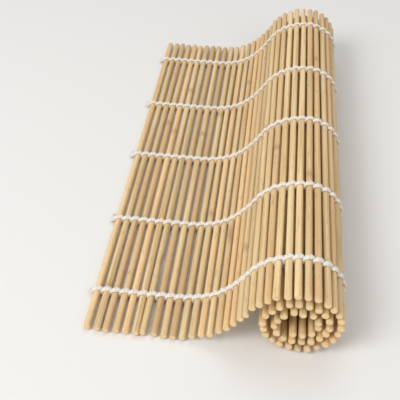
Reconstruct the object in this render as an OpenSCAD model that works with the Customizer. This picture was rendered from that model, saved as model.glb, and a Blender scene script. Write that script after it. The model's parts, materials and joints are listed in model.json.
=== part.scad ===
// Rolling mat for sushi: round bamboo sticks held side by side by rows of twined cotton cord.
// It lies partly rolled up: flat at the left, rising to a loose roll at the right.
// The sticks run along Y, and the mat unrolls towards +X.

/* [Sticks] */
// Length of a stick
stick_len = 240; // [200:1:300]
// Diameter of a stick
stick_d = 3; // [2.4:0.1:3.6]
// Bevel round the end of a stick
stick_bevel = 0.25; // [0.1:0.05:0.5]
// Open space between neighbouring sticks
stick_gap = 1; // [0.9:0.1:1.6]

/* [Cords] */
// Thickness of the cord over and under a stick
cord_t = 0.55; // [0.45:0.05:0.7]
// Thickness of the cord at the sides of a stick
cord_side = 0.2; // [0.15:0.01:0.22]
// Width of the cord on a stick
cord_w = 1.1; // [1:0.05:1.5]
// Bevel along the edges of the cord
cord_bevel = 0.3; // [0.2:0.05:0.4]
// Lean of the cord where it crosses a stick, in degrees
cord_lean = 12; // [10:1:16]
// Thickness of the twist where the two strands cross between sticks
cross_d = 0.8; // [0.6:0.05:0.9]
// Clearance between a stick and the cord around it
stick_fit = 0.03; // [0.02:0.01:0.05]
// Depth of the flat on the cord where it lies on the table
rest_flat = 0.1; // [0.05:0.01:0.15]

/* [Cord rows] */
// Distance from the front ends of the sticks to the first cord row
first_row = 21; // [10:0.5:40]
// Distances from each cord row to the next
row_steps = [46.5, 51.5, 49, 51.5]; // [30:0.5:55]

/* [Knots] */
// Diameter of the knot that ties a cord row at the outer edge
knot_d = 2; // [1.6:0.1:2.4]
// Diameter of the knot at the inner end of a cord row
end_knot_d = 1.4; // [1:0.1:1.6]
// Diameter of a cord tail
tail_d = 0.7; // [0.5:0.05:0.9]
// Length of the longer tail, from the middle of its knot
tail_len = 5; // [3:0.5:8]
// Length of the shorter tail
short_tail_len = 3; // [2:0.5:4]
// Clearance between a knot and the cord beside it
knot_gap = 0.05; // [0.03:0.01:0.1]

/* [Roll] */
// Sticks that lie flat between the outer edge and the rise
flat_count = 6; // [4:1:10]
// Two-stick courses in the roll
roll_pairs = 16; // [14:1:18]
// One-stick courses at the heart of the roll
roll_singles = 14; // [12:1:16]
// Open space between the cords of one turn and the next
turn_gap = 0.4; // [0.3:0.05:1]
// Bend radius at the heart of the roll
core_r = 4.8; // [4.8:0.1:7]
// How much flatter than round the roll lies
oval = 1.6; // [0:0.1:1.8]
// Lean of the flattened roll, in degrees
oval_lean = -28; // [-40:1:0]
// Height of the roll's lowest cord above the table
roll_lift = 0.05; // [0.02:0.01:0.2]

/* [Hidden] */
$fn = 48;
stick_r = stick_d / 2;
pitch = stick_d + stick_gap;
bore_r = stick_r + stick_fit;
// A strand on a stick is a disc, moved off the stick's axis so that it is thick over the stick
strand_r = stick_r + cord_side;
strand_off = cord_t - cord_side;
cord_reach = strand_r + strand_off;
cut_len = 3 * cord_w;
flat_z = cord_reach - rest_flat;
turn_step = 2 * cord_reach + turn_gap;
pair = 2;
edge_pairs = 2;
// The sticks keep to a spiral that has room for the rolled length
roll_len = (pair * roll_pairs + roll_singles) * pitch;
roll_r = sqrt(core_r * core_r + roll_len * turn_step / PI);
// Shape of the rise in two-stick steps, from the flat stretch to the crown
rise_shape = [9, 20, 34, 43, 48, 32, 16, 0];

bamboo = "BurlyWood";
cotton = "Ivory";

// Distance of every row from the middle of the sticks
rows = [for (i = [0 : len(row_steps)]) first_row + sum_first(row_steps, i) - stick_len / 2];
// Sticks on each course, from the outer edge to the inner end
roll_counts = concat([for (i = [1 : roll_pairs]) pair], [for (i = [1 : roll_singles]) 1]);
counts = concat([pair, pair, flat_count], [for (a = rise_shape) pair], roll_counts);
roll_turns = turns_from(0, 0, pair);
// Height from the end of the crown down to the lowest cord of the roll
roll_places = places_from(0, [0, 0], roll_counts, -roll_turns);
roll_drop = -min([for (i = [0 : len(roll_counts) - 1]) lowest_cord(roll_places[i], -roll_turns[i], roll_counts[i])]);
rise_scale = solve_rise(0.5, 1.7, roll_drop + roll_lift - flat_z, 24);
slopes = concat([0, 0, 0], rise_shape * rise_scale, -roll_turns);
rough_places = places_from(0, [0, flat_z], counts, slopes);
// The mat is centred between its leftmost tail and its rightmost cord
knot_x = pitch / 2 - strand_r - knot_gap - knot_d / 2;
tail_angle = 35;
left_x = knot_x - tail_len * cos(tail_angle) - tail_d / 2;
right_x = max([for (i = [0 : len(counts) - 1]) rightmost_cord(rough_places[i], slopes[i], counts[i])]);
middle = [(left_x + right_x) / 2, 0];
places = [for (p = rough_places) p - middle];

first_course = edge_pairs + 1;
course_count = len(counts) - first_course;
// The outer courses keep sticks and cords in separate nodes
split_courses = 15;

function sum_first(list, n) = n == 0 ? 0 : list[n - 1] + sum_first(list, n - 1);
// Radius at which the sticks lie after the roll has turned by t degrees
function turn_r(t) = max(core_r, roll_r - turn_step * t / 360 + oval * cos(2 * (t - oval_lean)));
// Half of the bend between two courses whose sticks lie at radius r
function half_bend(r, n) =
    n == pair ? asin(pitch / sqrt(r * r + 0.75 * pitch * pitch)) : atan(pitch / (2 * r));
// Angle turned by each course of the roll
function turns_from(i, t, before) =
    i == len(roll_counts) ? [] :
    let (r = turn_r(t), now = t + half_bend(r, before) + half_bend(r, roll_counts[i]))
    concat([now], turns_from(i + 1, now, roll_counts[i]));
// Start of each course, as [x, z]
function places_from(i, start, numbers, angles) =
    i == len(numbers) ? [] :
    let (step = numbers[i] * pitch * [cos(angles[i]), sin(angles[i])])
    concat([start], places_from(i + 1, start + step, numbers, angles));
function stick_place(start, angle, j) = start + (j + 0.5) * pitch * [cos(angle), sin(angle)];
function lowest_cord(start, angle, n) =
    min([for (j = [0 : n - 1]) stick_place(start, angle, j).y]) - strand_r - strand_off * abs(cos(angle));
function rightmost_cord(start, angle, n) =
    max([for (j = [0 : n - 1]) stick_place(start, angle, j).x]) + strand_r + strand_off * abs(sin(angle));
function rise_height(scale, i = 0) =
    i == len(rise_shape) ? 0 : pair * pitch * sin(scale * rise_shape[i]) + rise_height(scale, i + 1);
// Scale of the rise at which it climbs to the wanted height, by halving the interval
function solve_rise(low, high, height, steps) =
    let (mid = (low + high) / 2)
    steps == 0 ? mid :
    rise_height(mid) < height ? solve_rise(mid, high, height, steps - 1) : solve_rise(low, mid, height, steps - 1);

// Moves its children to the start of a course, with x along the course and z away from it
module at_course(i) {
    translate([places[i].x, 0, places[i].y]) rotate([0, -slopes[i], 0]) children();
}

module stick() {
    outline = [
        [0, -stick_len / 2],
        [stick_r - stick_bevel, -stick_len / 2],
        [stick_r, stick_bevel - stick_len / 2],
        [stick_r, stick_len / 2 - stick_bevel],
        [stick_r - stick_bevel, stick_len / 2],
        [0, stick_len / 2]
    ];
    rotate([90, 0, 0]) rotate_extrude() polygon(outline);
}

module course_sticks(i) {
    color(bamboo) at_course(i)
        for (j = [0 : counts[i] - 1]) translate([(j + 0.5) * pitch, 0, 0]) stick();
}

// One strand where it passes a stick: side is 1 over the stick and -1 under it
module strand(side) {
    outline = [
        [0, -cord_w / 2],
        [strand_r - cord_bevel, -cord_w / 2],
        [strand_r, cord_bevel - cord_w / 2],
        [strand_r, cord_w / 2 - cord_bevel],
        [strand_r - cord_bevel, cord_w / 2],
        [0, cord_w / 2]
    ];
    translate([0, 0, side * strand_off]) rotate([0, 0, side * cord_lean])
        rotate([90, 0, 0]) rotate_extrude() polygon(outline);
}

// The twined cord of one row on n sticks: two strands that hold each stick and cross between sticks
module cord(n) {
    difference() {
        union() {
            for (j = [0 : n - 1]) translate([(j + 0.5) * pitch, 0, 0]) {
                strand(1);
                strand(-1);
            }
            translate([pitch / 2 - strand_r, 0, 0]) rotate([0, 90, 0])
                cylinder(d = cross_d, h = (n - 1) * pitch + 2 * strand_r);
        }
        for (j = [0 : n - 1]) translate([(j + 0.5) * pitch, 0, 0]) rotate([90, 0, 0])
            cylinder(r = bore_r, h = cut_len, center = true);
    }
}

// Cord that lies on the table, flattened underneath
module resting_cord(n) {
    difference() {
        cord(n);
        translate([-pitch, -cut_len / 2, -flat_z - pitch]) cube([(n + 2) * pitch, cut_len, pitch]);
    }
}

module course_cords(i) {
    color(cotton) at_course(i)
        for (y = rows) translate([0, y, 0])
            if (i < first_course) resting_cord(counts[i]);
            else cord(counts[i]);
}

module tail(length, angle) {
    rotate([0, 0, 180 - angle]) rotate([0, 90, 0]) cylinder(d = tail_d, h = length);
    rotate([0, 0, 180 - angle]) translate([length, 0, 0]) sphere(d = tail_d);
}

module edge_knots() {
    color(cotton) at_course(0)
        for (y = rows) translate([knot_x, y, 0]) {
            sphere(d = knot_d);
            tail(tail_len, tail_angle);
            tail(short_tail_len, -tail_angle);
        }
}

// Knots that finish the cord rows inside the roll
module end_knots() {
    last = len(counts) - 1;
    color(cotton) at_course(last)
        for (y = rows)
            translate([pitch / 2 + strand_r + knot_gap + end_knot_d / 2, y, 0]) sphere(d = end_knot_d);
}

module course(i) {
    course_sticks(i);
    course_cords(i);
    if (i == len(counts) - 1) end_knots();
}

course_sticks(edge_pairs);  // flat_sticks
course_cords(edge_pairs);  // flat_cords
course_sticks(0);  // edge_sticks
course_cords(0);  // edge_cords
course_sticks(1);  // second_sticks
course_cords(1);  // second_cords
edge_knots();
for (c = [1 : split_courses]) {
    course_sticks(c + edge_pairs);
    course_cords(c + edge_pairs);
}
for (c = [split_courses + 1 : course_count]) {
    course(c + edge_pairs);
}
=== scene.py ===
import json
import math
import random

import bmesh
import bpy
from mathutils import Matrix, Vector

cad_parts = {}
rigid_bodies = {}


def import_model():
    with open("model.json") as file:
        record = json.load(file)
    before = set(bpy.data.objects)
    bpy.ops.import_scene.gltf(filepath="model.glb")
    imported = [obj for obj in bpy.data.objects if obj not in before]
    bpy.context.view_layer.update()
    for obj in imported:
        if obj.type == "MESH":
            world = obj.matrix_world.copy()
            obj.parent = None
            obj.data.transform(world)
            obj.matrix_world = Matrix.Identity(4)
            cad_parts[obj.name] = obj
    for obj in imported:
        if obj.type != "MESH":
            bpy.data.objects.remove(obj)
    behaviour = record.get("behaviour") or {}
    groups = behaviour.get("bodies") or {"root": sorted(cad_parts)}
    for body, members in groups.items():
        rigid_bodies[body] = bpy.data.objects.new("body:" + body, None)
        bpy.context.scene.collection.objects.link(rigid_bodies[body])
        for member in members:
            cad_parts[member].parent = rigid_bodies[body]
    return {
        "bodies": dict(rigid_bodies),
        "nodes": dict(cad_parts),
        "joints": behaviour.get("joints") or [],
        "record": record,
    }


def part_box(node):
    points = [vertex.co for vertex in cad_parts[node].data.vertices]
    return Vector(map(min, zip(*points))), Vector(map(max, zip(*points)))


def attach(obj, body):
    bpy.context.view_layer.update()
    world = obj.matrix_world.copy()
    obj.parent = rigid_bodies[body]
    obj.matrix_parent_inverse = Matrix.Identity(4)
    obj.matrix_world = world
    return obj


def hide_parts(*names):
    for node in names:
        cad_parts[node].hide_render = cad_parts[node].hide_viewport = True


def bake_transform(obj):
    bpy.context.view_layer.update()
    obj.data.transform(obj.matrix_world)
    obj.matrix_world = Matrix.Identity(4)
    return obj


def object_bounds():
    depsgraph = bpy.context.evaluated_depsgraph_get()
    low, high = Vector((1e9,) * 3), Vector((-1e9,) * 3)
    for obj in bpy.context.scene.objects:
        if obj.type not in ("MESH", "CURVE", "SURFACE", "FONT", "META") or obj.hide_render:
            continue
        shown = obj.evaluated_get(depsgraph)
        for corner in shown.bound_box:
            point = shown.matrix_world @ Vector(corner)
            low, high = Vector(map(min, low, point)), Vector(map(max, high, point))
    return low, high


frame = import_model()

mm = 0.001
cadLow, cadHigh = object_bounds()


# Layout of the mat, read from the frame

mat = {
    "stickRadius": 1.5 * mm,
    "flatBodies": ["edge", "second", "flat"],  # lie level, from the outer edge
    "coursePrefix": "course_",
    "endBand": 0.02 * mm,  # a vertex of a stick's end lies this near the end plane
    "endStep": 0.9 * mm,   # points of one end lie closer together than this, and sticks further apart
    "rowSplit": 8 * mm,    # two cord rows are further apart than this
}


def stickNodes(nodes):
    return [n for n in nodes if "cords" not in n and "knots" not in n]


def endCentres(node):
    # middle of the back end of each stick of a node
    groups = []
    for vertex in frame["nodes"][node].data.vertices:
        if vertex.co.y < cadHigh.y - mat["endBand"]:
            continue
        point = Vector((vertex.co.x, 0, vertex.co.z))
        near = [g for g in groups if any((p - point).length < mat["endStep"] for p in g)]
        groups = [g for g in groups if g not in near] + [[point] + [p for g in near for p in g]]
    middles = []
    for group in groups:
        low = Vector((min(p.x for p in group), 0, min(p.z for p in group)))
        high = Vector((max(p.x for p in group), 0, max(p.z for p in group)))
        middles.append((low + high) / 2)
    return middles


def readCourses():
    # a course is one body: its sticks in order, the way along it and the way out of it
    starts = {j["child"]: Vector(j["pos_m"]) for j in frame["joints"]}
    names = list(mat["flatBodies"])
    number = 1
    while mat["coursePrefix"] + str(number) in frame["bodies"]:
        names.append(mat["coursePrefix"] + str(number))
        number += 1
    courses = []
    for name in names:
        nodes = frame["record"]["behaviour"]["bodies"][name]
        middles = endCentres(stickNodes(nodes)[0])
        if name in mat["flatBodies"]:
            middles.sort(key=lambda p: p.x)
            along = Vector((1, 0, 0))
        else:
            middles.sort(key=lambda p: (p - starts[name]).length)
            along = (middles[-1] - starts[name]).normalized()
        away = Vector((-along.z, 0, along.x))
        courses.append({"body": name, "nodes": nodes, "sticks": middles, "along": along, "away": away})
    return courses


def readRows():
    # y of each row of cord, from the front
    places = sorted(v.co.y for v in frame["nodes"]["flat_cords"].data.vertices)
    pastLast = places[-1] + 2 * mat["rowSplit"]
    rows, first = [], places[0]
    for before, now in zip(places, places[1:] + [pastLast]):
        if now - before > mat["rowSplit"]:
            rows.append((first + before) / 2)
            first = now
    return rows


courses = readCourses()
rows = readRows()
flatSticks = next(c["sticks"] for c in courses if c["body"] == "flat")
pitch = (flatSticks[1] - flatSticks[0]).length
stickHeight = flatSticks[0].z
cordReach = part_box("flat_cords")[1].z - stickHeight
allSticks = [(c, p) for c in courses for p in c["sticks"]]
print("layout:", len(courses), "courses,", len(allSticks), "sticks,", len(rows), "rows of cord")


# Node helpers

def feed(tree, socket, value):
    if isinstance(value, bpy.types.NodeSocket):
        tree.links.new(value, socket)
    else:
        socket.default_value = value


def addNode(tree, kind, **inputs):
    node = tree.nodes.new(kind)
    for name, value in inputs.items():
        feed(tree, node.inputs[name], value)
    return node


def mathNode(tree, operation, *values):
    node = tree.nodes.new("ShaderNodeMath")
    node.operation = operation
    for socket, value in zip(node.inputs, values):
        feed(tree, socket, value)
    return node.outputs[0]


def mixColour(tree, factor, first, second, blend="MIX"):
    node = tree.nodes.new("ShaderNodeMix")
    node.data_type = "RGBA"
    node.blend_type = blend
    for place, value in ((0, factor), (6, first), (7, second)):  # sockets of a colour mix
        feed(tree, node.inputs[place], value)
    return node.outputs[2]


def rampNode(tree, factor, stops):
    node = tree.nodes.new("ShaderNodeValToRGB")
    ramp = node.color_ramp
    while len(ramp.elements) < len(stops):
        ramp.elements.new(0.5)
    for element, (place, colour) in zip(ramp.elements, stops):
        element.position = place
        element.color = colour
    tree.links.new(factor, node.inputs["Fac"])
    return node.outputs["Color"]


def rangeNode(tree, value, fromRange=(0, 1), toRange=(0, 1), kind="LINEAR"):
    node = tree.nodes.new("ShaderNodeMapRange")
    node.interpolation_type = kind
    node.inputs["From Min"].default_value, node.inputs["From Max"].default_value = fromRange
    node.inputs["To Min"].default_value, node.inputs["To Max"].default_value = toRange
    tree.links.new(value, node.inputs["Value"])
    return node.outputs["Result"]


def stretchedNoise(tree, vector, stretch, detail, rough):
    mapping = addNode(tree, "ShaderNodeMapping", Vector=vector, Scale=stretch)
    noise = addNode(tree, "ShaderNodeTexNoise", Vector=mapping.outputs[0], Scale=1.0,
                    Detail=detail, Roughness=rough)
    return noise.outputs["Fac"]


def attributeNode(tree, name):
    node = tree.nodes.new("ShaderNodeAttribute")
    node.attribute_name = name
    return node.outputs["Fac"]


def grey(value):
    return (value, value, value, 1)


def newMaterial(name):
    material = bpy.data.materials.new(name)
    material.use_nodes = True
    tree = material.node_tree
    return material, tree, tree.nodes["Principled BSDF"]


def addBump(tree, shader, height, strength, distance):
    bump = addNode(tree, "ShaderNodeBump", Height=height, Strength=strength, Distance=distance)
    tree.links.new(bump.outputs[0], shader.inputs["Normal"])


# Grain of bamboo, used on the sides and on the cut ends

grain = {
    # scale of each noise per metre, its detail and its roughness
    "broad": ((700, 14, 700), 3.0, 0.55),    # wide streaks
    "fibre": ((2600, 60, 2600), 2.0, 0.55),  # single fibres
    "dash": ((1500, 210, 1500), 2.0, 0.4),   # dark dashes
    "blotch": ((160, 30, 160), 2.0, 0.55),   # patches of warmer wood
    "dashRange": (0.64, 0.74),               # noise at which a dash starts and is full
}


def grainGroup():
    tree = bpy.data.node_groups.new("bambooGrain", "ShaderNodeTree")
    tree.interface.new_socket("Vector", in_out="INPUT", socket_type="NodeSocketVector")
    for name in ("Streak", "Fibre", "Dash", "Blotch"):
        tree.interface.new_socket(name, in_out="OUTPUT", socket_type="NodeSocketFloat")
    vector = tree.nodes.new("NodeGroupInput").outputs["Vector"]
    dash = stretchedNoise(tree, vector, *grain["dash"])
    addNode(tree, "NodeGroupOutput",
            Streak=stretchedNoise(tree, vector, *grain["broad"]),
            Fibre=stretchedNoise(tree, vector, *grain["fibre"]),
            Dash=rangeNode(tree, dash, fromRange=grain["dashRange"]),
            Blotch=stretchedNoise(tree, vector, *grain["blotch"]))
    return tree


def grainNode(tree, grainTree, place):
    group = tree.nodes.new("ShaderNodeGroup")
    group.node_tree = grainTree
    tree.links.new(place, group.inputs["Vector"])
    return group.outputs


bambooLook = {
    "pale": (0.830, 0.650, 0.370, 1),
    "main": (0.745, 0.542, 0.282, 1),
    "deep": (0.590, 0.392, 0.176, 1),
    "orange": (0.73, 0.44, 0.21, 1),
    "brown": (0.28, 0.14, 0.055, 1),
    "streakStops": (0.30, 0.47, 0.66),  # streak at which the wood is deep, main and pale
    "fibreStops": (0.3, 0.7),
    "fibreDark": 0.80,                  # level of the darkest fibres
    "fibreShare": 0.55,
    "tone": (0.30, 0.84),               # spread and lowest level from stick to stick
    "dashShare": 0.42,
    "roughness": (0.42, 0.62),
    "specular": 0.35,
    "bumpStrength": 0.55,
    "bumpDistance": 0.05 * mm,
}


def bambooMaterial(grainTree):
    material, tree, shader = newMaterial("bambooSkin")
    place = tree.nodes.new("ShaderNodeTexCoord").outputs["Object"]
    grained = grainNode(tree, grainTree, place)
    woods = [bambooLook[name] for name in ("deep", "main", "pale")]
    colour = rampNode(tree, grained["Streak"], list(zip(bambooLook["streakStops"], woods)))
    greys = [grey(bambooLook["fibreDark"]), grey(1)]
    fibre = rampNode(tree, grained["Fibre"], list(zip(bambooLook["fibreStops"], greys)))
    colour = mixColour(tree, bambooLook["fibreShare"], colour, fibre, "MULTIPLY")
    warm = mathNode(tree, "MULTIPLY", attributeNode(tree, "warm"), grained["Blotch"])
    colour = mixColour(tree, warm, colour, bambooLook["orange"])
    tone = mathNode(tree, "MULTIPLY_ADD", attributeNode(tree, "tone"), *bambooLook["tone"])
    colour = addNode(tree, "ShaderNodeHueSaturation", Value=tone, Color=colour).outputs[0]
    dash = mathNode(tree, "MULTIPLY", grained["Dash"], bambooLook["dashShare"])
    colour = mixColour(tree, dash, colour, bambooLook["brown"])
    colour = mixColour(tree, attributeNode(tree, "mark"), colour, bambooLook["brown"])
    tree.links.new(colour, shader.inputs["Base Color"])
    rough = rangeNode(tree, grained["Fibre"], toRange=bambooLook["roughness"])
    tree.links.new(rough, shader.inputs["Roughness"])
    height = mathNode(tree, "SUBTRACT", grained["Fibre"], grained["Dash"])
    addBump(tree, shader, height, bambooLook["bumpStrength"], bambooLook["bumpDistance"])
    shader.inputs["Specular IOR Level"].default_value = bambooLook["specular"]
    return material


cutLook = {
    "wood": (0.90, 0.68, 0.40, 1),
    "pore": (0.55, 0.36, 0.18, 1),
    "rim": (0.78, 0.55, 0.29, 1),
    "poreScale": 2600,
    "poreStops": (0.16, 0.34),     # distance from a pore's middle at which it starts and ends to fade
    "poreShare": 0.5,
    "roughness": 0.75,
    "specular": 0.25,
    "bumpStrength": 0.5,
    "bumpDistance": -0.06 * mm,    # pores go in
}


def cutMaterial(grainTree):
    # sawn end of a stick: pale wood with fine pores
    material, tree, shader = newMaterial("bambooCut")
    place = tree.nodes.new("ShaderNodeTexCoord").outputs["Object"]
    pores = addNode(tree, "ShaderNodeTexVoronoi", Vector=place, Scale=cutLook["poreScale"])
    pore = rampNode(tree, pores.outputs["Distance"], list(zip(cutLook["poreStops"], (grey(1), grey(0)))))
    grained = grainNode(tree, grainTree, place)
    colour = mixColour(tree, grained["Streak"], cutLook["rim"], cutLook["wood"])
    soft = mathNode(tree, "MULTIPLY", pore, cutLook["poreShare"])
    colour = mixColour(tree, soft, colour, cutLook["pore"])
    tree.links.new(colour, shader.inputs["Base Color"])
    addBump(tree, shader, pore, cutLook["bumpStrength"], cutLook["bumpDistance"])
    shader.inputs["Roughness"].default_value = cutLook["roughness"]
    shader.inputs["Specular IOR Level"].default_value = cutLook["specular"]
    return material


cottonLook = {
    # painted light and shade: the colour runs from light on the ridges of the plies to shade in the
    # grooves between them; the fuzz adds random tone
    "light": (0.865, 0.825, 0.765, 1),
    "shade": (0.66, 0.60, 0.52, 1),
    "warm": (1.0, 0.965, 0.93, 1),  # tint of the warmer patches
    "warmStops": (0.35, 0.65),
    "warmShare": 0.8,
    # scale of each noise per metre, its detail and its roughness
    "patch": ((300, 300, 300), 2.0, 0.55),
    "fuzz": ((3200, 3200, 3200), 4.0, 0.7),
    "yarns": 3,                     # plies in a strand
    "crestPaintedLight": 0.55,              # painted light: how much lighter a ply is along its ridge, leaving painted shade in the grooves
    "level": 0.85,
    "fuzzHeight": 0.8,              # against the height of a ply
    "roughness": 0.92,
    "sheen": 0.35,
    "specular": 0.15,
    "bumpStrength": 0.7,
    "bumpDistance": 0.12 * mm,
}


def cottonMaterial():
    # the UV map runs along a strand in U, in turns of its twist, and round it in V
    material, tree, shader = newMaterial("cottonCord")
    coords = tree.nodes.new("ShaderNodeTexCoord")
    uv = addNode(tree, "ShaderNodeSeparateXYZ", Vector=coords.outputs["UV"])
    around = mathNode(tree, "MULTIPLY", uv.outputs["Y"], cottonLook["yarns"])
    turn = mathNode(tree, "SUBTRACT", around, uv.outputs["X"])
    wave = mathNode(tree, "COSINE", mathNode(tree, "MULTIPLY", turn, 2 * math.pi))
    yarn = mathNode(tree, "MULTIPLY_ADD", wave, 0.5, 0.5)
    fuzz = stretchedNoise(tree, coords.outputs["Object"], *cottonLook["fuzz"])
    patch = stretchedNoise(tree, coords.outputs["Object"], *cottonLook["patch"])
    # painted light and shade: lighter on the ply ridges and darker in the grooves, besides the random
    # tone of the fuzz
    paintedCrest = mathNode(tree, "MULTIPLY", yarn, cottonLook["crestPaintedLight"])
    light = mathNode(tree, "MULTIPLY", mathNode(tree, "ADD", paintedCrest, fuzz), cottonLook["level"])
    colour = mixColour(tree, light, cottonLook["shade"], cottonLook["light"])
    warm = rampNode(tree, patch, list(zip(cottonLook["warmStops"], (cottonLook["warm"], grey(1)))))
    colour = mixColour(tree, cottonLook["warmShare"], colour, warm, "MULTIPLY")
    tree.links.new(colour, shader.inputs["Base Color"])
    height = mathNode(tree, "ADD", yarn, mathNode(tree, "MULTIPLY", fuzz, cottonLook["fuzzHeight"]))
    addBump(tree, shader, height, cottonLook["bumpStrength"], cottonLook["bumpDistance"])
    shader.inputs["Roughness"].default_value = cottonLook["roughness"]
    shader.inputs["Sheen Weight"].default_value = cottonLook["sheen"]
    shader.inputs["Specular IOR Level"].default_value = cottonLook["specular"]
    return material


grainTree = grainGroup()
bamboo = bambooMaterial(grainTree)
cut = cutMaterial(grainTree)
cotton = cottonMaterial()
print("materials made")


# Pieces

def finishPiece(bm, name, materials, body=None, bend=None, stands=(), slot="bamboo"):
    # a piece rides on one body, or, when given a bend, stays where it is made, on no body
    mesh = bpy.data.meshes.new(name)
    bm.to_mesh(mesh)
    bm.free()
    piece = bpy.data.objects.new(name, mesh)
    bpy.context.scene.collection.objects.link(piece)
    for material in materials:
        mesh.materials.append(material)
    if bend:
        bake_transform(piece)
    else:
        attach(piece, body)
    if stands:
        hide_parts(*stands)


# Bamboo sticks

stick = {
    "seed": 11,
    "sides": 20,
    "rings": 60,
    "bevel": 0.42 * mm,
    "bevelSpread": 0.12 * mm,
    "bevelSegments": 3,
    "lengthSpread": 0.45 * mm,       # how far an end lies off the common line
    "endPower": 8,                   # how late along a stick that shift sets in
    "thickness": (-0.022, 0.0132),   # change of the radius, as a share
    "waviness": 0.012,               # swelling along a stick, as a share of its radius
    "waves": (12, 30),               # radians of that swelling along a stick
    "bow": 0.16 * mm,
    "bowWaves": (0.6, 1.6),          # half waves of the bow along a stick
    "phase": (0, 6),
    "endSplay": 0.22 * mm,           # sideways drift of the free ends
    "splayPower": 3,
    "tilt": 0.06,                    # slope of a sawn end
    "tiltFrom": 0.98,                # share of the way to the end from which a stick is tilted
    "knuckleChance": 0.3,            # how many sticks show a node of the cane
    "knucklePlace": 0.42,            # furthest from the middle, as a share of the length
    "knuckleHeight": 0.07 * mm,
    "knuckleWidth": 3.3 * mm,
    "knuckleBrown": 0.42,
    "knuckleLine": 6,                # how much narrower its brown line is than its swelling
    "tone": (0.52, 0.24),            # mean and spread
    "warmChance": 0.35,
    "warm": (0.4, 1.0),
    "plain": (0, 0.15),              # warmth of the other sticks
    # sideways shift of the front tips that lean together in the photo, by stick
    "tips": {5: 0.42 * mm, 6: -0.42 * mm, 3: 0.2 * mm, 11: -0.25 * mm, 17: 0.3 * mm, 22: -0.3 * mm},
    # flaws seen in the photo, by stick: place along it (-0.5 at the front), half length, the side they
    # face in degrees (0 towards the roll, 90 up), depth, and how brown they are
    "flaws": {
        6: (-0.328, 7 * mm, 15, 0.75 * mm, 0.0),     # notch
        24: (0.480, 9 * mm, 20, 1.00 * mm, 0.10),    # chipped back tip
        14: (-0.265, 10 * mm, 60, 0.10 * mm, 0.60),  # scar
        29: (-0.345, 10 * mm, 50, 0.30 * mm, 0.65),  # crack
    },
    "splintered": 33,                # stick with splinters at its front end
    "splinters": [(-50, 1.6 * mm), (-20, 1.0 * mm), (-85, 1.2 * mm)],    # side and length of each
    "splinterRadius": 0.14 * mm,
    "splinterTip": 0.02 * mm,
    "splinterSides": 6,
    "splinterFoot": (0.8, 0.2 * mm),  # share of the stick's radius, and depth behind the end
    "splinterLean": 0.35,
}


def stickForm(rng, number):
    def within(limit):
        return rng.uniform(-limit, limit)

    hasKnuckle = rng.random() < stick["knuckleChance"]
    return {
        "knuckle": within(stick["knucklePlace"]) if hasKnuckle else None,
        "radius": mat["stickRadius"] * (1 + rng.uniform(*stick["thickness"])),
        "ends": [within(stick["lengthSpread"]) for end in range(2)],
        "bows": [(within(stick["bow"]), rng.uniform(*stick["bowWaves"]), rng.uniform(*stick["phase"]))
                 for way in range(2)],
        "splays": [[within(stick["endSplay"]) for way in range(2)] for end in range(2)],
        "tilts": [[within(stick["tilt"]) for way in range(2)] for end in range(2)],
        "wave": (rng.uniform(*stick["waves"]), rng.uniform(*stick["phase"])),
        "bevel": stick["bevel"] + within(stick["bevelSpread"]),
        "tone": min(1, max(0, rng.gauss(*stick["tone"]))),
        "warm": rng.uniform(*stick["warm" if rng.random() < stick["warmChance"] else "plain"]),
        "tip": stick["tips"].get(number, 0),
        "flaw": stick["flaws"].get(number),
    }


def addStick(bm, centre, course, form):
    length = cadHigh.y - cadLow.y
    one = bmesh.new()
    layers = {name: one.verts.layers.float.new(name) for name in ("tone", "warm", "mark")}
    bmesh.ops.create_cone(
        one, cap_ends=True, cap_tris=False, segments=stick["sides"], radius1=form["radius"],
        radius2=form["radius"], depth=length, matrix=Matrix.Rotation(math.radians(90), 4, "X"))
    rims = [e for e in one.edges if abs(e.verts[0].co.y - e.verts[1].co.y) < mm]
    bmesh.ops.bevel(one, geom=rims, offset=form["bevel"], offset_type="OFFSET", affect="EDGES",
                    segments=stick["bevelSegments"], profile=0.5, material=-1, clamp_overlap=True)
    longEdges = [e for e in one.edges if abs(e.verts[0].co.y - e.verts[1].co.y) > length / 2]
    bmesh.ops.subdivide_edges(one, edges=longEdges, cuts=stick["rings"], use_grid_fill=True)
    for vertex in one.verts:
        shapeStick(vertex, layers, centre, course, form, length)
    for face in one.faces:
        isCap = len(face.verts) == stick["sides"]
        face.smooth = not isCap
        face.material_index = 1 if isCap else 0
    mesh = bpy.data.meshes.new("oneStick")
    one.to_mesh(mesh)
    one.free()
    bm.from_mesh(mesh)
    bpy.data.meshes.remove(mesh)


def knuckleAmount(place, share, length):
    # swelling of the cane's node, centred on a ring of the mesh
    rings = stick["rings"] + 1
    nearest = round((place + 0.5) * rings) / rings - 0.5
    return math.exp(-((share - nearest) * length / stick["knuckleWidth"]) ** 2)


def flawAmount(flaw, x, z, share, length):
    # how strongly a flaw acts on a point of the stick's side, from 0 to 1
    place, halfLength, side = flaw[:3]
    along = (share - place) * length / halfLength
    facing = math.cos(math.atan2(z, x) - math.radians(side))
    return (1 - along * along) ** 2 * facing * facing if abs(along) < 1 and facing > 0 else 0


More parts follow.
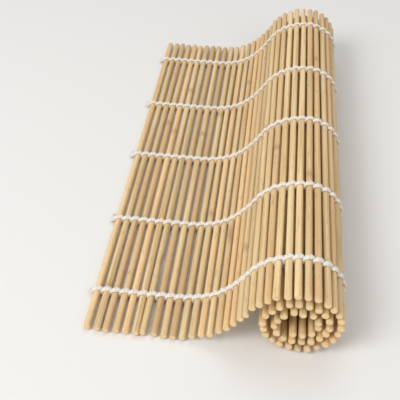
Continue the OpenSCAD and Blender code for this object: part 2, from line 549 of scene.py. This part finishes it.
def shapeStick(vertex, layers, centre, course, form, length):
    x, y, z = vertex.co
    share = y / length                      # from -0.5 at the front to 0.5 at the back
    end = 0 if share < 0 else 1
    reach = abs(2 * share)
    knuckle = knuckleAmount(form["knuckle"], share, length) if form["knuckle"] is not None else 0
    swell = 1 + stick["waviness"] * math.sin(form["wave"][0] * share + form["wave"][1])
    swell += knuckle * stick["knuckleHeight"] / mat["stickRadius"]
    brown = stick["knuckleBrown"] * knuckle ** stick["knuckleLine"]
    if form["flaw"]:
        flaw = flawAmount(form["flaw"], x, z, share, length)
        depth, flawBrown = form["flaw"][3:]
        swell -= flaw * depth / mat["stickRadius"]
        brown = max(brown, flaw * flawBrown)
    x, z = x * swell, z * swell
    if reach > stick["tiltFrom"]:
        tiltX, tiltZ = form["tilts"][end]
        y += x * tiltX + z * tiltZ
    y += form["ends"][end] * reach ** stick["endPower"]
    side, up = [a * math.cos(k * math.pi * share + p) for a, k, p in form["bows"]]
    splay = reach ** stick["splayPower"]
    side += form["splays"][end][0] * splay
    up += form["splays"][end][1] * splay
    if end == 0:
        side += form["tip"] * splay
    vertex.co = centre + course["along"] * (x + side) + course["away"] * (z + up) + Vector((0, y, 0))
    vertex[layers["tone"]] = form["tone"]
    vertex[layers["warm"]] = form["warm"]
    vertex[layers["mark"]] = brown


def addSplinters(bm, centre, course):
    footShare, footDepth = stick["splinterFoot"]
    for side, length in stick["splinters"]:
        angle = math.radians(side)
        outward = course["along"] * math.cos(angle) + course["away"] * math.sin(angle)
        heading = (Vector((0, -1, 0)) + outward * stick["splinterLean"]).normalized()
        foot = centre + Vector((0, cadLow.y + footDepth, 0)) + outward * mat["stickRadius"] * footShare
        turn = Vector((0, 0, 1)).rotation_difference(heading).to_matrix().to_4x4()
        bmesh.ops.create_cone(
            bm, cap_ends=True, segments=stick["splinterSides"], radius1=stick["splinterRadius"],
            radius2=stick["splinterTip"], depth=length,
            matrix=Matrix.Translation(foot + heading * length / 2) @ turn)


def makeSticks():
    rng = random.Random(stick["seed"])
    number = 0
    for course in courses:
        bm = bmesh.new()
        for centre in course["sticks"]:
            addStick(bm, centre, course, stickForm(rng, number))
            if number == stick["splintered"]:
                addSplinters(bm, centre, course)
            number += 1
        held = stickNodes(course["nodes"])
        finishPiece(bm, "bamboo_" + course["body"], [bamboo, cut], body=course["body"], stands=held)
    return number


print("sticks:", makeSticks())


# Tubes of cotton, rolled up from a flat grid

seamGap = 0.002 * mm  # the two edges of a grid meet within this


def newCotton():
    bm = bmesh.new()
    return bm, bm.loops.layers.uv.new("strand")


def addGrid(bm, uvLayer, turns, sides):
    # turns holds each ring's place in the twist; gives each vertex's ring, and its step round it
    rings = len(turns)
    grid = {}
    for vertex in bmesh.ops.create_grid(bm, x_segments=rings - 1, y_segments=sides, size=1)["verts"]:
        grid[vertex] = (round((vertex.co.x + 1) / 2 * (rings - 1)), round((vertex.co.y + 1) / 2 * sides))
    for face in {f for v in grid for f in v.link_faces}:
        face.smooth = True
        for loop in face.loops:
            ring, step = grid[loop.vert]
            loop[uvLayer].uv = (turns[ring], step / sides)
    return grid


def closeSeam(bm, grid):
    bmesh.ops.remove_doubles(bm, verts=list(grid), dist=seamGap)


def finishCotton(bm, name, **rides):
    # both ends of each tube are closed
    bmesh.ops.holes_fill(bm, edges=[e for e in bm.edges if e.is_boundary], sides=0)
    bmesh.ops.recalc_face_normals(bm, faces=bm.faces)
    finishPiece(bm, name, [cotton], slot="cotton", **rides)


# Twined cotton cord: two strands that wind round each other, half a turn from stick to stick

cord = {
    "seed": 23,
    "rings": 13,                 # rings of a strand from one stick to the next
    "sides": 14,
    "widthOver": 2.60 * mm,      # across the strand where it lies on a stick
    "widthCross": 1.80 * mm,     # where the two strands cross
    "thickCross": 1.60 * mm,
    "press": 0.30 * mm,          # how far a strand sinks round a stick
    "puff": 0.15 * mm,           # how far the soft strand swells past the solid cord
    "crossOffset": 0.42 * mm,    # each strand's place at a crossing, to the front or the back
    "plyDepth": 0.09,
    "plyTurns": 4,               # ply ridges that pass a point of the side from stick to stick
    "tableGap": 0.02 * mm,
    "unevenness": 0.05,
    "headingStep": 0.02,         # angle to either side of a ring that gives its heading
}


def eased(share):
    share = min(1, max(0, share))
    return share * share * (3 - 2 * share)


def strandMiddle(theta, side, first, second, row):
    # middle of a strand at angle theta of its half turn from stick first to stick second
    (courseA, centreA), (courseB, centreB) = first, second
    high = (mat["stickRadius"] + cordReach + cord["puff"]) / 2 * math.cos(theta) * side
    step = pitch / 2 * math.sin(theta)
    past = step if theta <= math.pi / 2 else pitch - step
    left = pitch - past
    fromA = centreA + courseA["along"] * past + courseA["away"] * high
    fromB = centreB - courseB["along"] * left + courseB["away"] * high
    middle = fromA.lerp(fromB, eased((theta - math.pi / 4) / (math.pi / 2)))
    middle.y = row + side * cord["crossOffset"] * math.sin(theta)
    return middle


def flattened(spot, first, second):
    # cord that lies on the table, or would when the mat is unrolled, is flat underneath
    (courseA, centreA), (courseB, centreB) = first, second
    hinge = centreA + courseA["along"] * pitch / 2
    span = centreB - centreA
    away = courseA["away"].slerp(courseB["away"], eased((spot - centreA).dot(span) / span.length_squared))
    under = cord["tableGap"] - stickHeight - (spot - hinge).dot(away)
    spot = spot + away * max(0, under)
    spot.z = max(spot.z, cord["tableGap"])
    return spot


def addStrand(bm, uvLayer, first, second, row, side, rng, start=0.0, end=math.pi):
    rings, sides = cord["rings"], cord["sides"]
    if end - start < math.pi:
        rings = rings // 2 + 1
    thetas = [start + (end - start) * i / (rings - 1) for i in range(rings)]
    bulge = rng.uniform(-cord["unevenness"], cord["unevenness"])
    thickOver = cordReach - mat["stickRadius"] + cord["puff"] + cord["press"]
    grid = addGrid(bm, uvLayer, [t / math.pi * cord["plyTurns"] for t in thetas], sides)
    sections = []
    for theta in thetas:
        ahead = strandMiddle(min(math.pi, theta + cord["headingStep"]), side, first, second, row)
        behind = strandMiddle(max(0, theta - cord["headingStep"]), side, first, second, row)
        heading = (ahead - behind).normalized()
        across = Vector((0, 1, 0))
        across = (across - heading * across.dot(heading)).normalized()
        outward = heading.cross(across)
        over = abs(math.cos(theta))
        puff = 1 + bulge * math.sin(theta) ** 2
        width = (cord["widthOver"] * over + cord["widthCross"] * (1 - over)) * puff
        thick = (thickOver * over + cord["thickCross"] * (1 - over)) * puff
        middle = strandMiddle(theta, side, first, second, row)
        sections.append((middle, across * width / 2, outward * thick / 2))
    for vertex, (ring, step) in grid.items():
        angle = 2 * math.pi * step / sides
        middle, across, outward = sections[ring]
        twist = 2 * thetas[ring] * cord["plyTurns"]
        ply = 1 + cord["plyDepth"] * math.cos(cottonLook["yarns"] * angle - twist)
        spot = middle + (across * math.cos(angle) + outward * math.sin(angle)) * ply
        vertex.co = flattened(spot, first, second)
    closeSeam(bm, grid)


def beyond(place, steps):
    # where a stick would be, past the outer edge or the inner end
    course, centre = place
    return course, centre + course["along"] * pitch * steps


def makeCords():
    rng = random.Random(cord["seed"])
    number, count = 0, 0
    for index, course in enumerate(courses):
        bm, uvLayer = newCotton()
        for centre in course["sticks"]:
            here = allSticks[number]
            for row in rows:
                for side in (1, -1):
                    if number == 0:
                        addStrand(bm, uvLayer, beyond(here, -1), here, row, -side, rng, start=math.pi / 2)
                    if number == len(allSticks) - 1:
                        addStrand(bm, uvLayer, here, beyond(here, 1), row, side, rng, end=math.pi / 2)
                    elif centre is not course["sticks"][-1]:
                        addStrand(bm, uvLayer, here, allSticks[number + 1], row, side, rng)
            number += 1
        if len(bm.verts):
            held = [n for n in course["nodes"] if "cords" in n]
            finishCotton(bm, "cord_" + course["body"], body=course["body"], stands=held)
            count += 1
        else:
            bm.free()
        if index + 1 < len(courses):
            bm, uvLayer = newCotton()
            here, there = allSticks[number - 1], allSticks[number]
            for row in rows:
                for side in (1, -1):
                    addStrand(bm, uvLayer, here, there, row, side, rng)
            turn = (course["body"], courses[index + 1]["body"], tuple(here[1]), tuple(there[1]))
            finishCotton(bm, "cordBend_" + course["body"], bend=turn)
            count += 1
    return count


print("cord pieces:", makeCords())


# Knots at the outer edge, with their tails, and at the inner end of the roll

knot = {
    "seed": 5,
    "size": 0.36 * mm,        # scale of the trefoil
    "depth": 1.2,             # how far its loops rise and dip, before scaling
    "tube": 0.42 * mm,
    "steps": 60,
    "sides": 10,
    "turn": 0.4,              # most that a knot is turned, in radians
    "gap": 0.55 * mm,         # from the last crossing of the strands to the middle of the knot
    "innerGap": 0.33 * mm,
    "innerScale": 0.62,
    "turnsPerStep": 0.5,      # turns of the twist in the UV map
    "tailRadius": 0.62 * mm,
    # length and angle, outwards from the mat's edge, of the tails of each row, from the front
    "tails": [
        [(1.8 * mm, 12)],
        [(4.4 * mm, 66), (1.8 * mm, -30)],
        [(4.0 * mm, 60), (1.8 * mm, -35)],
        [(4.4 * mm, 70), (1.6 * mm, -25)],
        [(4.4 * mm, 68), (1.6 * mm, -25)],
    ],
    "angleSpread": 8,
    "tailSteps": 12,
    "tailCurl": 0.35,         # most that a tail turns along its length, in radians
    "tailRest": 1.05,         # height of its middle on the table, in radii
    "tailDroop": 1.5,         # power of its way down to the table
    "tailTaper": (0.35, 4),   # share that the tip is thinner, and how late that sets in
    "tailPly": (0.08, 0.9),   # depth of its plies, and their turn from ring to ring
    "frayed": 5,
    "fraySpread": 0.5,
    "frayDip": 0.2,           # most that a fray leans down
    "frayLength": 1.3 * mm,
    "frayShortest": 0.5,
    "frayRoot": 0.4 * mm,     # how far inside the tail it starts
    "frayPoints": 5,
    "fraySides": 6,
    "frayRadius": 0.09 * mm,
    "frayRest": 1.1,
    "frayTaper": 0.15,
}


def addTube(bm, uvLayer, points, radii, sides, plyDepth=0.0, plyTurn=0.0):
    last = len(points) - 1
    grid = addGrid(bm, uvLayer, [i * knot["turnsPerStep"] for i in range(len(points))], sides)
    across, sections = Vector((0.1, 0.3, 1)).normalized(), []  # any start that no tube runs along
    for i in range(len(points)):
        heading = (points[min(i + 1, last)] - points[max(i - 1, 0)]).normalized()
        across = (across - heading * across.dot(heading)).normalized()
        sections.append((across.copy(), heading.cross(across)))
    for vertex, (ring, step) in grid.items():
        angle = 2 * math.pi * step / sides
        wide, tall = sections[ring]
        ply = 1 + plyDepth * math.cos(cottonLook["yarns"] * angle - ring * plyTurn)
        vertex.co = points[ring] + (wide * math.cos(angle) + tall * math.sin(angle)) * radii[ring] * ply
    closeSeam(bm, grid)


def trefoil(centre, size, turn):
    points = []
    for i in range(knot["steps"] + 1):
        t = 2 * math.pi * i / knot["steps"]
        point = Vector((math.sin(t) + 2 * math.sin(2 * t), math.cos(t) - 2 * math.cos(2 * t),
                        -knot["depth"] * math.sin(3 * t)))
        points.append(centre + Matrix.Rotation(turn, 3, "Y") @ point * size)
    return points


def addKnot(bm, uvLayer, centre, rng, scale=1.0):
    points = trefoil(centre, knot["size"] * scale, rng.uniform(-knot["turn"], knot["turn"]))
    for point in points:
        point.z = max(point.z, knot["tube"] * scale)
    addTube(bm, uvLayer, points, [knot["tube"] * scale] * len(points), knot["sides"])


def addTail(bm, uvLayer, start, length, angle, rng):
    heading = Vector((-math.cos(math.radians(angle)), math.sin(math.radians(angle)), 0))
    curl = rng.uniform(-knot["tailCurl"], knot["tailCurl"])
    steps = knot["tailSteps"]
    drop = start.z - knot["tailRadius"]
    points, spot = [], start.copy()
    for i in range(steps):
        points.append(spot.copy())
        heading = Matrix.Rotation(curl / steps, 3, "Z") @ heading
        spot = spot + heading * length / (steps - 1)
        level = start.z - drop * (i / steps) ** knot["tailDroop"]
        spot.z = max(knot["tailRadius"] * knot["tailRest"], level)
    thinner, power = knot["tailTaper"]
    radii = [knot["tailRadius"] * (1 - thinner * (i / (steps - 1)) ** power) for i in range(steps)]
    addTube(bm, uvLayer, points, radii, knot["sides"], *knot["tailPly"])
    for strand in range(knot["frayed"]):
        addFray(bm, uvLayer, points[-1], heading, rng)


def addFray(bm, uvLayer, tip, heading, rng):
    wide, dip, count = knot["fraySpread"], knot["frayDip"], knot["frayPoints"]
    spread = Vector((rng.uniform(-wide, wide), rng.uniform(-wide, wide), rng.uniform(-dip, wide)))
    lean = (heading + spread).normalized()
    reach = knot["frayLength"] * rng.uniform(knot["frayShortest"], 1)
    root = tip - heading * knot["frayRoot"]
    points = [root + lean * reach * i / (count - 1) for i in range(count)]
    for point in points:
        point.z = max(point.z, knot["frayRadius"] * knot["frayRest"])
    radii = [knot["frayRadius"] * (1 - knot["frayTaper"] * i) for i in range(count)]
    addTube(bm, uvLayer, points, radii, knot["fraySides"])


def makeKnots():
    rng = random.Random(knot["seed"])
    course, centre = allSticks[0]
    bm, uvLayer = newCotton()
    for row, tails in zip(rows, knot["tails"]):
        middle = centre - course["along"] * (pitch / 2 + knot["gap"]) + Vector((0, row, 0))
        addKnot(bm, uvLayer, middle, rng)
        for length, angle in tails:
            turned = angle + rng.uniform(-knot["angleSpread"], knot["angleSpread"])
            addTail(bm, uvLayer, middle, length, turned, rng)
    finishCotton(bm, "knots_edge", body=course["body"], stands=["edge_knots"])
    course, centre = allSticks[-1]
    bm, uvLayer = newCotton()
    for row in rows:
        middle = centre + course["along"] * (pitch / 2 + knot["innerGap"]) + Vector((0, row, 0))
        addKnot(bm, uvLayer, middle, rng, knot["innerScale"])
    finishCotton(bm, "knots_inner", body=course["body"])


makeKnots()
print("knots made")


# Floor, light and camera

studio = {
    "floorSize": 6.0,
    "floorColour": (0.80, 0.79, 0.77, 1),
    "floorRoughness": 0.85,
    "skyColour": (1.0, 1.0, 1.0, 1),
    "skyLevel": 0.42,
    "backColour": (0.83, 0.82, 0.80, 1),  # what the camera sees behind the floor
    "fade": (0.40, 1.20),                 # distances at which the floor starts and ends to fade into it
    # name, place, size in metres, level at the mat
    "lamps": [
        ("keyLamp", (-0.62, -0.62, 0.80), 0.55, 0.62),
        ("fillLamp", (0.70, -0.70, 0.60), 0.9, 0.16),
        ("topLamp", (0.05, 0.55, 1.00), 0.8, 0.22),
    ],
}


def showBehind(tree, output, amount, lit, seen):
    # the camera sees one shader, by an amount, where light meets the other
    seesIt = tree.nodes.new("ShaderNodeLightPath").outputs["Is Camera Ray"]
    mix = tree.nodes.new("ShaderNodeMixShader")
    for socket, source in zip(mix.inputs, (mathNode(tree, "MULTIPLY", seesIt, amount), lit, seen)):
        tree.links.new(source, socket)
    tree.links.new(mix.outputs[0], tree.nodes[output].inputs["Surface"])


def makeFloor():
    bm = bmesh.new()
    bmesh.ops.create_grid(bm, x_segments=1, y_segments=1, size=studio["floorSize"] / 2)
    mesh = bpy.data.meshes.new("floor")
    bm.to_mesh(mesh)
    bm.free()
    floor = bpy.data.objects.new("floor", mesh)
    bpy.context.scene.collection.objects.link(floor)
    material, tree, shader = newMaterial("floorPaint")
    shader.inputs["Base Color"].default_value = studio["floorColour"]
    shader.inputs["Roughness"].default_value = studio["floorRoughness"]
    distance = tree.nodes.new("ShaderNodeVectorMath")
    distance.operation = "LENGTH"
    tree.links.new(tree.nodes.new("ShaderNodeTexCoord").outputs["Object"], distance.inputs[0])
    far = rangeNode(tree, distance.outputs["Value"], fromRange=studio["fade"], kind="SMOOTHSTEP")
    glow = addNode(tree, "ShaderNodeEmission", Color=studio["backColour"], Strength=1.0)
    showBehind(tree, "Material Output", far, shader.outputs[0], glow.outputs[0])
    mesh.materials.append(material)


def makeLight():
    world = bpy.data.worlds.new("studio")
    world.use_nodes = True
    tree = world.node_tree
    sky = tree.nodes["Background"]
    sky.inputs["Color"].default_value = studio["skyColour"]
    sky.inputs["Strength"].default_value = studio["skyLevel"]
    back = addNode(tree, "ShaderNodeBackground", Color=studio["backColour"], Strength=1.0)
    showBehind(tree, "World Output", 1.0, sky.outputs[0], back.outputs[0])
    bpy.context.scene.world = world
    for name, place, size, level in studio["lamps"]:
        lamp = bpy.data.lights.new(name, "AREA")
        lamp.size = size
        lamp.energy = level * (math.pi * Vector(place).length) ** 2
        thing = bpy.data.objects.new(name, lamp)
        thing.location = place
        thing.rotation_euler = (-Vector(place)).to_track_quat("-Z", "Y").to_euler()
        bpy.context.scene.collection.objects.link(thing)


view = {
    "place": (15.8 * mm, -308.2 * mm, 241.3 * mm),
    "yaw": -5.68,       # turn to the right of +Y, in degrees
    "pitch": 40.88,     # below the horizon
    "roll": 1.49,
    "focal": 732.0,     # in pixels of the picture
    "picture": 400.0,   # its width
    "sensor": 36.0,     # in millimetres
}


def makeCamera():
    yaw, down, roll = (math.radians(view[k]) for k in ("yaw", "pitch", "roll"))
    forward = Vector((math.sin(yaw) * math.cos(down), math.cos(yaw) * math.cos(down), -math.sin(down)))
    right = Vector((math.cos(yaw), -math.sin(yaw), 0))
    up = right.cross(forward)
    turnedRight = right * math.cos(roll) + up * math.sin(roll)
    turnedUp = up * math.cos(roll) - right * math.sin(roll)
    data = bpy.data.cameras.new("camera")
    data.sensor_width = view["sensor"]
    data.lens = view["focal"] / view["picture"] * view["sensor"]
    camera = bpy.data.objects.new("camera", data)
    turned = Matrix((turnedRight, turnedUp, -forward)).transposed()
    camera.matrix_world = Matrix.Translation(view["place"]) @ turned.to_4x4()
    bpy.context.scene.collection.objects.link(camera)
    bpy.context.scene.camera = camera


makeFloor()
makeLight()
makeCamera()
bpy.context.scene.view_settings.view_transform = "Standard"
print("studio made")
